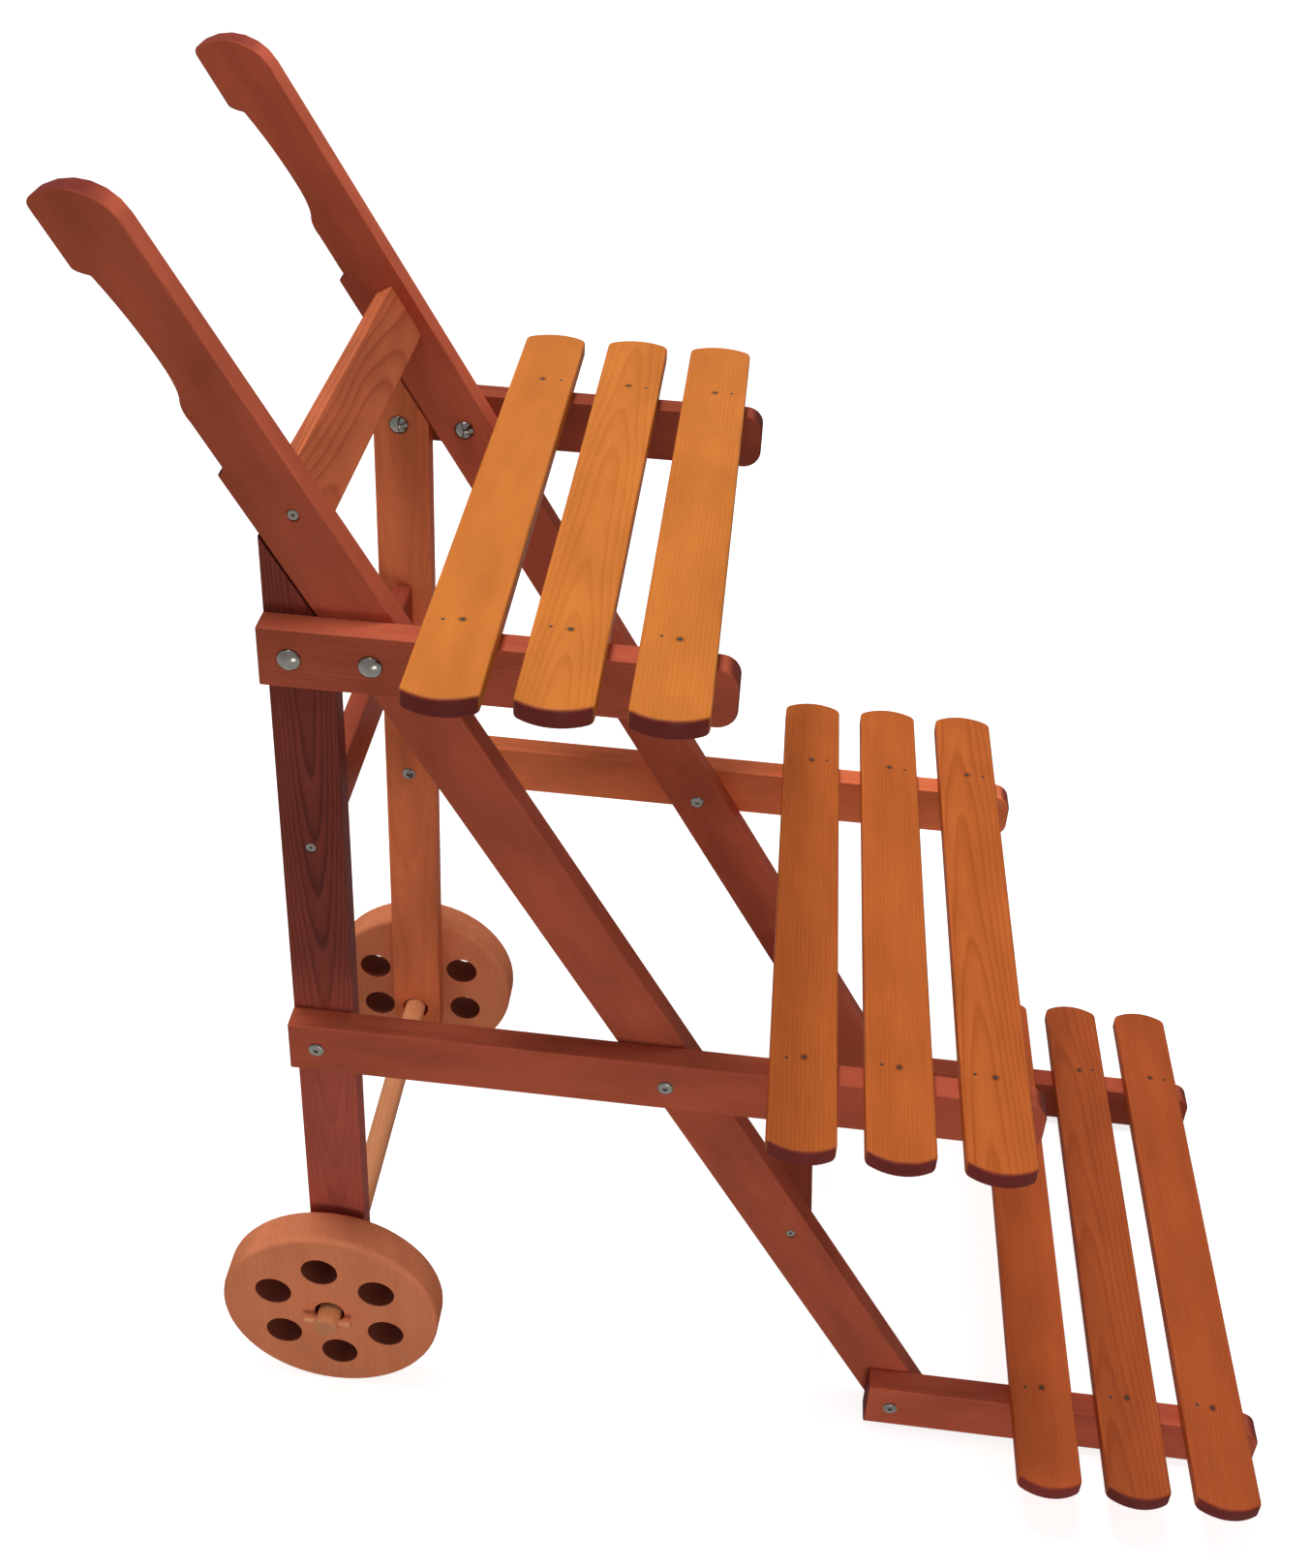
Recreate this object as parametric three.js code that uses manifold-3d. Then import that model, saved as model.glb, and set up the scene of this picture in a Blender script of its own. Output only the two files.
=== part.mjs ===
// A three-shelf timber cart for potted flowers. Two side frames, each a vertical leg and a long
// leaning stringer that runs from the floor up to a shaped handle, carry three stepped shelves.
// The legs stand on a loose dowel axle with two solid wooden wheels.
//
// Millimetres, +Z up. +X is the way the shelves step down, away from the handles, and the cart is
// mirrored about Y = 0. While it is built, x = 0 is the back edge of the legs and z = 0 the floor.
// At the end the cart is moved along X so that the origin lies under the middle of its length.

import * as THREE from 'three';
import { mergeVertices } from 'three/addons/utils/BufferGeometryUtils.js';
import Module from 'manifold-3d';

const wasm = await Module();
wasm.setup();

// ---------------------------------------------------------------- driving dimensions

// Timber of the side frames: legs, stringers and shelf bearers share one section.
const BOARD_WIDTH = 57.5;
const BOARD_THICKNESS = 25;
const FRAME_WIDTH = 430; // over the outer faces of the legs

// Stringers. The bolts through the upper bearers place them beside the legs.
const STRINGER_LEAN = THREE.MathUtils.degToRad(59.4); // above the floor
const UPPER_BOLT_SPACING = 67.887503; // leg's bolt to stringer's bolt
const HANDLE_LENGTH = 445.602; // along the stringer, from its upper bolt to the tip

// Handle, shaped on the stringer's back edge. Lengths are measured down from the tip.
const TIP_FRONT_RADIUS = 48;
const TIP_BACK_RADIUS = 8;
const KNOB_LENGTH = 59; // full width, stops the hand at the tip
const GRIP_LENGTH = 131; // long scallop below the knob
const GRIP_DEPTH = 16;
const GRIP_SHOULDER = 12; // slope from the scallop up to the knob
const RELIEF_LENGTH = 61; // shallow scallop below the long one
const RELIEF_DEPTH = 7.5;
const RELIEF_STEP = 4; // slope from the full width into the relief

// Legs
const LEG_BOTTOM = 74; // above the floor
const LEG_MITRE_GAP = 1.6; // between the leg's mitred top and the stringer
const LEG_FIXING_X = 27; // bolts, screw and axle, from the leg's back edge

// Shelf bearers: top faces above the floor, and lengths. The upper two start at the back of the
// legs and the lowest a little behind the stringer's foot.
const UPPER_SHELF_HEIGHT = 963;
const MIDDLE_SHELF_HEIGHT = 513;
const LOWER_SHELF_HEIGHT = 69;
const UPPER_BEARER_LENGTH = 397;
const MIDDLE_BEARER_LENGTH = 714;
const LOWER_BEARER_LENGTH = 406;
const LOWER_BEARER_TAIL = 16; // behind the place where the stringer's back edge meets the floor
const BEARER_END_RADIUS = 18; // both corners of the front end

// Slats
const SLAT_COUNT = 3;
const SLAT_OVERHANG = 100; // beyond the bearers' outer faces
const SLAT_WIDTH = 63;
const SLAT_THICKNESS = 18;
const SLAT_GAP = 25;
const SLAT_SETBACK = 20; // last slat's front edge to the bearers' front ends
const SLAT_END_RADIUS = 52; // bowed end, in plan
const SLAT_CORNER_RADIUS = 9;

// Cross boards between the side frames
const CROSS_WIDTH = 58;
const CROSS_THICKNESS = 19;
const CROSS_INSET = 26; // back edge of the stringer to the board's back face
const UPPER_CROSS_RISE = 137.602; // middle of the board, along the stringer from its upper bolt
const LOWER_CROSS_AT = 289; // the same from the floor
const LEG_CROSS_HEIGHT = 712; // middle of the board between the legs

// Wheels, axle and the pegs that keep the wheels on
const WHEEL_DIAMETER = 230;
const WHEEL_THICKNESS = 38;
const WHEEL_EDGE_RADIUS = 6;
const WHEEL_HOLE_COUNT = 6;
const WHEEL_HOLE_DIAMETER = 38;
const WHEEL_HOLE_CIRCLE = 128; // diameter of the circle of hole centres
const WHEEL_GAP = 6.5; // leg's outer face to the wheel
const RIGHT_WHEEL_TURN = THREE.MathUtils.degToRad(7.4); // as the wheels happen to stand
const LEFT_WHEEL_TURN = THREE.MathUtils.degToRad(3.7);
const AXLE_DIAMETER = 25;
const AXLE_BORE = 31; // loose holes for the axle in the legs and in the wheels
const AXLE_OVERHANG = 18; // beyond the wheels' outer faces
const AXLE_CHAMFER = 1.5;
const SEAT_CLEARANCE = 0.3; // where the axle bears in its bores
const PEG_DIAMETER = 7;
const PEG_LENGTH = 50;
const PEG_CHAMFER = 0.8;
const PEG_END_DISTANCE = 9; // peg's centre line to the axle's end

// Carriage bolts with domed cap nuts, which fix the upper bearers
const CARRIAGE_SHANK = 8;
const CARRIAGE_HEAD = 20.5;
const CARRIAGE_HEAD_HEIGHT = 5;
const CAP_NUT_DIAMETER = 20;
const CAP_NUT_HEIGHT = 7;
const CAP_NUT_SPIGOT = 10.5; // tubular part of the nut, let into the board
const CAP_NUT_SPIGOT_LENGTH = 9;

// Connector bolts with sleeve nuts, which fix the middle and lower bearers
const CONNECTOR_SHANK = 6;
const CONNECTOR_HEAD = 15;
const CONNECTOR_HEAD_HEIGHT = 2.2;
const CONNECTOR_SOCKET = 4; // across the flats of the hexagon socket
const CONNECTOR_SOCKET_DEPTH = 1.4;
const SLEEVE_DIAMETER = 9;
const SLEEVE_LENGTH = 22;
const CONNECTOR_TIP_GAP = 2; // between the bolt's tip and the bottom of the sleeve's bore

// Countersunk wood screws into the ends of the cross boards
const SCREW_SHANK = 4.5;
const SCREW_HEAD = 9;
const SCREW_HEAD_DEPTH = 3;
const SCREW_LENGTH = 60;
const SCREW_POINT = 7;
const SCREW_SINK = 1; // head below the board's face
const SCREW_RECESS = 3; // width of the cross recess
const SCREW_RECESS_DEPTH = 1.6;

const FIT_CLEARANCE = 0.3; // round fasteners and pegs, all round

// Facets
const FINE_SEGMENTS = 60; // wheel rim
const ROUND_SEGMENTS = 24; // axle, bores and holes
const FASTENER_SEGMENTS = 12;
const ARC_SEGMENTS = 6; // rounded ends of boards
const EDGE_SEGMENTS = 4; // rounded edges of the wheels, and domes

// ---------------------------------------------------------------- places worked out from them

const HALF_FRAME = FRAME_WIDTH / 2;
const INNER_FACE = HALF_FRAME - BOARD_THICKNESS;
const BEARER_FACE = HALF_FRAME + BOARD_THICKNESS;
const SLAT_LENGTH = 2 * (BEARER_FACE + SLAT_OVERHANG);
const WHEEL_RADIUS = WHEEL_DIAMETER / 2;
const WHEEL_OUTER_FACE = HALF_FRAME + WHEEL_GAP + WHEEL_THICKNESS;
const AXLE_HALF_LENGTH = WHEEL_OUTER_FACE + AXLE_OVERHANG;
const AXLE_DROP = (AXLE_BORE - AXLE_DIAMETER) / 2 - SEAT_CLEARANCE; // centre to centre
const WHEEL_CENTRE = new THREE.Vector2(LEG_FIXING_X, WHEEL_RADIUS);
const AXLE_CENTRE = new THREE.Vector2(LEG_FIXING_X, WHEEL_RADIUS - AXLE_DROP);
const LEG_BORE_CENTRE = new THREE.Vector2(LEG_FIXING_X, AXLE_CENTRE.y - AXLE_DROP);
const LEG_CROSS_CENTRE = new THREE.Vector2(LEG_FIXING_X, LEG_CROSS_HEIGHT);

// The stringer's middle line passes through its upper bolt. From there follow the place where its
// back edge meets the floor, and lengths along that edge from the floor.
const UPPER_BOLT_HEIGHT = UPPER_SHELF_HEIGHT - BOARD_WIDTH / 2;
const UPPER_BOLT_AT =
  (UPPER_BOLT_HEIGHT - (BOARD_WIDTH / 2) * Math.cos(STRINGER_LEAN)) / Math.sin(STRINGER_LEAN);
const STRINGER_FOOT_X =
  LEG_FIXING_X +
  UPPER_BOLT_SPACING +
  UPPER_BOLT_AT * Math.cos(STRINGER_LEAN) -
  (BOARD_WIDTH / 2) * Math.sin(STRINGER_LEAN);
const STRINGER_LENGTH = UPPER_BOLT_AT + HANDLE_LENGTH;
const UPPER_CROSS_AT = UPPER_BOLT_AT + UPPER_CROSS_RISE;

// The shelves, from the top one down, with the X of the back end of each one's bearers.
const SHELVES = [
  { name: 'upper', height: UPPER_SHELF_HEIGHT, start: 0, length: UPPER_BEARER_LENGTH },
  { name: 'middle', height: MIDDLE_SHELF_HEIGHT, start: 0, length: MIDDLE_BEARER_LENGTH },
  {
    name: 'lower',
    height: LOWER_SHELF_HEIGHT,
    start: STRINGER_FOOT_X - LOWER_BEARER_TAIL,
    length: LOWER_BEARER_LENGTH,
  },
];

const SIDES = [
  { name: 'right', sign: -1, wheelTurn: RIGHT_WHEEL_TURN },
  { name: 'left', sign: 1, wheelTurn: LEFT_WHEEL_TURN },
];

// A point on the stringer in the side view: distance up its back edge from the floor, and
// distance in from that edge towards the front.
function onStringer(along, inset) {
  return new THREE.Vector2(
    STRINGER_FOOT_X - along * Math.cos(STRINGER_LEAN) + inset * Math.sin(STRINGER_LEAN),
    along * Math.sin(STRINGER_LEAN) + inset * Math.cos(STRINGER_LEAN)
  );
}

// The point at a height above the floor on a line that runs along the stringer at an inset.
function stringerAtHeight(height, inset) {
  const along = (height - inset * Math.cos(STRINGER_LEAN)) / Math.sin(STRINGER_LEAN);
  return onStringer(along, inset);
}

function bearerMiddle(shelf) {
  return shelf.height - BOARD_WIDTH / 2;
}

// Where each bearer is bolted to the leg and to the stringer.
function fixings(shelf) {
  const height = bearerMiddle(shelf);
  const points = { stringer: stringerAtHeight(height, BOARD_WIDTH / 2) };
  if (shelf.start < LEG_FIXING_X) points.leg = new THREE.Vector2(LEG_FIXING_X, height);
  return points;
}

const crossMiddle = CROSS_INSET + CROSS_THICKNESS / 2;
const UPPER_CROSS_CENTRE = onStringer(UPPER_CROSS_AT, crossMiddle);
const LOWER_CROSS_CENTRE = onStringer(LOWER_CROSS_AT, crossMiddle);

// ---------------------------------------------------------------- solids

function toManifold(geometry) {
  const bare = geometry.clone();
  bare.deleteAttribute('normal');
  bare.deleteAttribute('uv');
  const merged = mergeVertices(bare, 1e-4);
  return new wasm.Manifold(
    new wasm.Mesh({
      numProp: 3,
      vertProperties: new Float32Array(merged.attributes.position.array),
      triVerts: new Uint32Array(merged.index.array),
    })
  );
}

function fromManifold(solid) {
  const mesh = solid.getMesh();
  const geometry = new THREE.BufferGeometry();
  geometry.setAttribute('position', new THREE.BufferAttribute(mesh.vertProperties, 3));
  geometry.setIndex(new THREE.BufferAttribute(mesh.triVerts, 1));
  geometry.computeVertexNormals();
  return geometry;
}

function cut(geometry, tools) {
  return fromManifold(tools.reduce((solid, tool) => solid.subtract(toManifold(tool)), toManifold(geometry)));
}

// An outline drawn in the side view, x and z, extruded across Y about the middle of its thickness.
function sideBoard(shape, thickness) {
  const geometry = new THREE.ExtrudeGeometry(shape, {
    depth: thickness,
    bevelEnabled: false,
    curveSegments: ARC_SEGMENTS,
  });
  geometry.translate(0, 0, -thickness / 2);
  geometry.rotateX(Math.PI / 2);
  return geometry;
}

// A cylinder along Y at a point of the side view, between two places across the cart.
function crossCylinder(point, diameter, from, to, segments) {
  const geometry = new THREE.CylinderGeometry(diameter / 2, diameter / 2, Math.abs(to - from), segments);
  geometry.translate(point.x, (from + to) / 2, point.y);
  return geometry;
}

// A turned solid about Y, from [radius, distance] pairs. Distances run along +Y from y = 0.
function turned(profile, segments) {
  const points = profile.map(([radius, distance]) => new THREE.Vector2(radius, distance));
  return new THREE.LatheGeometry(points, segments);
}

// A bore through a board of a side frame. It passes both faces.
function boreThrough(point, diameter, segments = FASTENER_SEGMENTS) {
  return crossCylinder(point, diameter, -BOARD_THICKNESS, BOARD_THICKNESS, segments);
}

// ---------------------------------------------------------------- side frames

// The stringer's outline: floor, shaped back edge, rounded tip, straight front edge.
function stringerOutline() {
  const knob = STRINGER_LENGTH - KNOB_LENGTH;
  const gripTop = knob - GRIP_SHOULDER;
  const gripBottom = knob - GRIP_LENGTH;
  const relief = gripBottom - RELIEF_LENGTH;
  const frontRadius = Math.min(TIP_FRONT_RADIUS, BOARD_WIDTH - TIP_BACK_RADIUS);
  const tipFront = STRINGER_LENGTH - frontRadius;
  const shape = new THREE.Shape();
  const line = (along, inset) => {
    const point = onStringer(along, inset);
    shape.lineTo(point.x, point.y);
  };
  const curve = (along, inset, endAlong, endInset) => {
    const bend = onStringer(along, inset);
    const end = onStringer(endAlong, endInset);
    shape.quadraticCurveTo(bend.x, bend.y, end.x, end.y);
  };
  const start = stringerAtHeight(0, 0);
  shape.moveTo(start.x, start.y);
  line(relief, 0);
  curve(relief, RELIEF_DEPTH, relief + RELIEF_STEP, RELIEF_DEPTH);
  line(relief + RELIEF_LENGTH * 0.75, RELIEF_DEPTH);
  curve(gripBottom - RELIEF_STEP, RELIEF_DEPTH * 0.8, gripBottom + RELIEF_STEP, RELIEF_DEPTH * 1.3);
  curve(gripBottom + RELIEF_STEP * 3, GRIP_DEPTH, gripBottom + GRIP_LENGTH * 0.3, GRIP_DEPTH);
  curve(gripBottom + GRIP_LENGTH * 0.6, GRIP_DEPTH, gripTop, GRIP_DEPTH * 0.62);
  curve(knob - GRIP_SHOULDER * 0.3, 0, knob, 0);
  line(STRINGER_LENGTH - TIP_BACK_RADIUS, 0);
  curve(STRINGER_LENGTH, 0, STRINGER_LENGTH, TIP_BACK_RADIUS);
  line(STRINGER_LENGTH, BOARD_WIDTH - frontRadius);
  for (let step = 1; step <= ARC_SEGMENTS; step += 1) {
    const angle = (Math.PI / 2) * (step / ARC_SEGMENTS);
    line(tipFront + frontRadius * Math.cos(angle), BOARD_WIDTH - frontRadius * (1 - Math.sin(angle)));
  }
  const toe = stringerAtHeight(0, BOARD_WIDTH);
  shape.lineTo(toe.x, toe.y);
  shape.closePath();
  return shape;
}

// The leg's outline: square foot, top mitred to lie along the stringer's back edge.
function legOutline() {
  const drop = LEG_MITRE_GAP / Math.cos(STRINGER_LEAN); // the gap, measured straight down
  const mitre = (x) => (STRINGER_FOOT_X - x) * Math.tan(STRINGER_LEAN) - drop;
  const shape = new THREE.Shape();
  shape.moveTo(0, LEG_BOTTOM);
  shape.lineTo(BOARD_WIDTH, LEG_BOTTOM);
  shape.lineTo(BOARD_WIDTH, mitre(BOARD_WIDTH));
  shape.lineTo(0, mitre(0));
  shape.closePath();
  return shape;
}

// The bearer's outline: square at the back, both front corners rounded.
function bearerOutline(shelf) {
  const { start, length, height } = shelf;
  const bottom = height - BOARD_WIDTH;
  const turn = start + length - BEARER_END_RADIUS;
  const shape = new THREE.Shape();
  shape.moveTo(start, bottom);
  shape.lineTo(turn, bottom);
  shape.absarc(turn, bottom + BEARER_END_RADIUS, BEARER_END_RADIUS, -Math.PI / 2, 0, false);
  shape.absarc(turn, height - BEARER_END_RADIUS, BEARER_END_RADIUS, 0, Math.PI / 2, false);
  shape.lineTo(start, height);
  shape.closePath();
  return shape;
}

const boltBore = {
  upper: CARRIAGE_SHANK + 2 * FIT_CLEARANCE,
  middle: CONNECTOR_SHANK + 2 * FIT_CLEARANCE,
  lower: CONNECTOR_SHANK + 2 * FIT_CLEARANCE,
};

// The board behind a bearer is bored for the bolt and counterbored from inside for the nut.
const nutBore = {
  upper: { diameter: CAP_NUT_SPIGOT + 2 * FIT_CLEARANCE, depth: CAP_NUT_SPIGOT_LENGTH + FIT_CLEARANCE },
  middle: { diameter: SLEEVE_DIAMETER + 2 * FIT_CLEARANCE, depth: SLEEVE_LENGTH + FIT_CLEARANCE },
  lower: { diameter: SLEEVE_DIAMETER + 2 * FIT_CLEARANCE, depth: SLEEVE_LENGTH + FIT_CLEARANCE },
};

function fixingBores(shelf, point, sign) {
  const inside = (-sign * BOARD_THICKNESS) / 2;
  const { diameter, depth } = nutBore[shelf.name];
  return [
    boreThrough(point, boltBore[shelf.name]),
    crossCylinder(point, diameter, inside * 2, inside + sign * depth, FASTENER_SEGMENTS),
  ];
}

// The seat of a countersunk screw: hole, cone and the short sink above the head.
function screwSeat(point, sign) {
  const radius = SCREW_SHANK / 2 + FIT_CLEARANCE;
  const headRadius = SCREW_HEAD / 2 + FIT_CLEARANCE;
  const seat = turned(
    [
      [0, -BOARD_THICKNESS],
      [radius, -BOARD_THICKNESS],
      [radius, BOARD_THICKNESS / 2 - SCREW_SINK - SCREW_HEAD_DEPTH],
      [headRadius, BOARD_THICKNESS / 2 - SCREW_SINK],
      [headRadius, BOARD_THICKNESS],
      [0, BOARD_THICKNESS],
    ],
    FASTENER_SEGMENTS
  );
  if (sign < 0) seat.rotateX(Math.PI);
  seat.translate(point.x, 0, point.y);
  return seat;
}

function stringer(sign) {
  const bores = SHELVES.flatMap((shelf) => fixingBores(shelf, fixings(shelf).stringer, sign));
  bores.push(screwSeat(UPPER_CROSS_CENTRE, sign), screwSeat(LOWER_CROSS_CENTRE, sign));
  return cut(sideBoard(stringerOutline(), BOARD_THICKNESS), bores);
}

function leg(sign) {
  const bolted = SHELVES.filter((shelf) => fixings(shelf).leg);
  const bores = bolted.flatMap((shelf) => fixingBores(shelf, fixings(shelf).leg, sign));
  bores.push(screwSeat(LEG_CROSS_CENTRE, sign));
  bores.push(boreThrough(LEG_BORE_CENTRE, AXLE_BORE, ROUND_SEGMENTS));
  return cut(sideBoard(legOutline(), BOARD_THICKNESS), bores);
}

function bearer(shelf) {
  const bores = Object.values(fixings(shelf)).map((point) => boreThrough(point, boltBore[shelf.name]));
  return cut(sideBoard(bearerOutline(shelf), BOARD_THICKNESS), bores);
}

// ---------------------------------------------------------------- shelves and cross boards

// A slat lies along Y. Its ends are bowed, with rounded corners.
function slatGeometry() {
  const half = SLAT_WIDTH / 2;
  const inner = SLAT_END_RADIUS - SLAT_CORNER_RADIUS;
  const cornerX = half - SLAT_CORNER_RADIUS;
  const bowAngle = Math.asin(cornerX / inner); // where the bow meets the corner
  const bowCentre = SLAT_LENGTH / 2 - SLAT_END_RADIUS;
  const cornerY = bowCentre + inner * Math.cos(bowAngle);
  const quarter = Math.PI / 2;
  const shape = new THREE.Shape();
  shape.moveTo(half, -cornerY);
  shape.lineTo(half, cornerY);
  shape.absarc(cornerX, cornerY, SLAT_CORNER_RADIUS, 0, quarter - bowAngle, false);
  shape.absarc(0, bowCentre, SLAT_END_RADIUS, quarter - bowAngle, quarter + bowAngle, false);
  shape.absarc(-cornerX, cornerY, SLAT_CORNER_RADIUS, quarter + bowAngle, Math.PI, false);
  shape.lineTo(-half, -cornerY);
  shape.absarc(-cornerX, -cornerY, SLAT_CORNER_RADIUS, Math.PI, 3 * quarter - bowAngle, false);
  shape.absarc(0, -bowCentre, SLAT_END_RADIUS, 3 * quarter - bowAngle, 3 * quarter + bowAngle, false);
  shape.absarc(cornerX, -cornerY, SLAT_CORNER_RADIUS, 3 * quarter + bowAngle, 2 * Math.PI, false);
  shape.closePath();
  return new THREE.ExtrudeGeometry(shape, {
    depth: SLAT_THICKNESS,
    bevelEnabled: false,
    curveSegments: ARC_SEGMENTS,
  });
}

function slatCentre(shelf, index) {
  const last = shelf.start + shelf.length - SLAT_SETBACK - SLAT_WIDTH / 2;
  return last - (SLAT_COUNT - 1 - index) * (SLAT_WIDTH + SLAT_GAP);
}

// A cross board on edge, its width along Z, with a pilot hole for a screw in each end.
function crossBoard() {
  const length = 2 * INNER_FACE;
  const pilotDepth = SCREW_LENGTH + SCREW_SINK - BOARD_THICKNESS + FIT_CLEARANCE;
  const middle = new THREE.Vector2(0, 0);
  const pilots = [-1, 1].map((sign) =>
    crossCylinder(
      middle,
      SCREW_SHANK + 2 * FIT_CLEARANCE,
      sign * (INNER_FACE + 1),
      sign * (INNER_FACE - pilotDepth),
      FASTENER_SEGMENTS
    )
  );
  return cut(new THREE.BoxGeometry(CROSS_THICKNESS, length, CROSS_WIDTH), pilots);
}

// ---------------------------------------------------------------- wheels and axle

// The rounded edge of a wheel's outer face, from the face to the rim.
function wheelEdge() {
  const edge = WHEEL_EDGE_RADIUS;
  const points = [];
  for (let step = 0; step <= EDGE_SEGMENTS; step += 1) {
    const angle = (Math.PI / 2) * (step / EDGE_SEGMENTS);
    const radius = WHEEL_RADIUS - edge * (1 - Math.sin(angle));
    points.push([radius, WHEEL_THICKNESS / 2 - edge * (1 - Math.cos(angle))]);
  }
  return points;
}

function wheel(turn) {
  const front = wheelEdge();
  const back = front.map(([radius, distance]) => [radius, -distance]);
  const bore = AXLE_BORE / 2;
  const profile = [
    [bore, -WHEEL_THICKNESS / 2],
    ...back,
    ...front.reverse(),
    [bore, WHEEL_THICKNESS / 2],
    [bore, -WHEEL_THICKNESS / 2],
  ];
  const holes = [];
  for (let index = 0; index < WHEEL_HOLE_COUNT; index += 1) {
    const angle = turn + Math.PI / 2 + (2 * Math.PI * index) / WHEEL_HOLE_COUNT;
    const place = new THREE.Vector2(Math.cos(angle), Math.sin(angle)).multiplyScalar(WHEEL_HOLE_CIRCLE / 2);
    const half = WHEEL_THICKNESS;
    holes.push(crossCylinder(place, WHEEL_HOLE_DIAMETER, -half, half, ROUND_SEGMENTS));
  }
  return cut(turned(profile, FINE_SEGMENTS), holes);
}

// The axle is a dowel with chamfered ends and a cross hole for a peg near each end.
function axle() {
  const radius = AXLE_DIAMETER / 2;
  const shoulder = AXLE_HALF_LENGTH - AXLE_CHAMFER;
  const dowel = turned(
    [
      [0, -AXLE_HALF_LENGTH],
      [radius - AXLE_CHAMFER, -AXLE_HALF_LENGTH],
      [radius, -shoulder],
      [radius, shoulder],
      [radius - AXLE_CHAMFER, AXLE_HALF_LENGTH],
      [0, AXLE_HALF_LENGTH],
    ],
    ROUND_SEGMENTS
  );
  const holes = [-1, 1].map((sign) => {
    const radiusOfHole = PEG_DIAMETER / 2 + FIT_CLEARANCE;
    const hole = new THREE.CylinderGeometry(radiusOfHole, radiusOfHole, 2 * AXLE_DIAMETER, FASTENER_SEGMENTS);
    hole.rotateZ(Math.PI / 2);
    hole.translate(0, sign * (AXLE_HALF_LENGTH - PEG_END_DISTANCE), 0);
    return hole;
  });
  return cut(dowel, holes);
}

// A peg lies along X through the axle.
function peg() {
  const radius = PEG_DIAMETER / 2;
  const geometry = turned(
    [
      [0, -PEG_LENGTH / 2],
      [radius - PEG_CHAMFER, -PEG_LENGTH / 2],
      [radius, PEG_CHAMFER - PEG_LENGTH / 2],
      [radius, PEG_LENGTH / 2 - PEG_CHAMFER],
      [radius - PEG_CHAMFER, PEG_LENGTH / 2],
      [0, PEG_LENGTH / 2],
    ],
    FASTENER_SEGMENTS
  );
  geometry.rotateZ(Math.PI / 2);
  return geometry;
}

// ---------------------------------------------------------------- fasteners
// Each is turned about Y with y = 0 at the face that its head lies on. The shank runs to -Y.

// The [radius, distance] points of a dome of a given rim radius and height, rim first.
function dome(radius, height) {
  const ball = (radius * radius + height * height) / (2 * height);
  const points = [];
  for (let step = 0; step <= EDGE_SEGMENTS; step += 1) {
    const reach = radius * (1 - step / EDGE_SEGMENTS);
    points.push([reach, height - ball + Math.sqrt(ball * ball - reach * reach)]);
  }
  return points;
}

function carriageBolt() {
  const tip = CAP_NUT_SPIGOT_LENGTH / 2 - 2 * BOARD_THICKNESS;
  const shank = CARRIAGE_SHANK / 2;
  return turned(
    [[0, tip], [shank, tip], [shank, 0], ...dome(CARRIAGE_HEAD / 2, CARRIAGE_HEAD_HEIGHT)],
    FASTENER_SEGMENTS
  );
}

function capNut() {
  const spigot = CAP_NUT_SPIGOT / 2;
  const thread = CARRIAGE_SHANK / 2 + FIT_CLEARANCE;
  const bottom = -CAP_NUT_SPIGOT_LENGTH;
  return turned(
    [
      [0, 1],
      [thread, 1],
      [thread, bottom],
      [spigot, bottom],
      [spigot, 0],
      ...dome(CAP_NUT_DIAMETER / 2, CAP_NUT_HEIGHT),
    ],
    FASTENER_SEGMENTS
  );
}

// A flat round head with a broken edge and a hexagon socket.
function connectorHead() {
  const rim = CONNECTOR_HEAD / 2;
  const edge = CONNECTOR_HEAD_HEIGHT / 2;
  return [
    [rim, 0],
    [rim, edge],
    [rim - edge, CONNECTOR_HEAD_HEIGHT],
    [0, CONNECTOR_HEAD_HEIGHT],
  ];
}

function withSocket(geometry) {
  const radius = CONNECTOR_SOCKET / Math.sqrt(3);
  const socket = new THREE.CylinderGeometry(radius, radius, 2 * CONNECTOR_SOCKET_DEPTH, 6);
  socket.translate(0, CONNECTOR_HEAD_HEIGHT, 0);
  return cut(geometry, [socket]);
}

function connectorBolt() {
  const shank = CONNECTOR_SHANK / 2;
  const tip = CONNECTOR_TIP_GAP - 2 * BOARD_THICKNESS;
  return withSocket(turned([[0, tip], [shank, tip], [shank, 0], ...connectorHead()], FASTENER_SEGMENTS));
}

function sleeveNut() {
  const sleeve = SLEEVE_DIAMETER / 2;
  const thread = CONNECTOR_SHANK / 2 + FIT_CLEARANCE;
  const bottom = -SLEEVE_LENGTH;
  return withSocket(
    turned(
      [[0, 0], [thread, 0], [thread, bottom], [sleeve, bottom], [sleeve, 0], ...connectorHead()],
      FASTENER_SEGMENTS
    )
  );
}

function woodScrew() {
  const shank = SCREW_SHANK / 2;
  const screw = turned(
    [
      [0, -SCREW_LENGTH],
      [shank, SCREW_POINT - SCREW_LENGTH],
      [shank, -SCREW_HEAD_DEPTH],
      [SCREW_HEAD / 2, 0],
      [0, 0],
    ],
    FASTENER_SEGMENTS
  );
  const slot = SCREW_RECESS_DEPTH;
  const recess = [
    new THREE.BoxGeometry(SCREW_RECESS, 2 * slot, SCREW_RECESS / 3),
    new THREE.BoxGeometry(SCREW_RECESS / 3, 2 * slot, SCREW_RECESS),
  ];
  return cut(screw, recess);
}

// ---------------------------------------------------------------- materials

function wood(color, roughness) {
  return new THREE.MeshStandardMaterial({ color, roughness, metalness: 0 });
}

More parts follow.
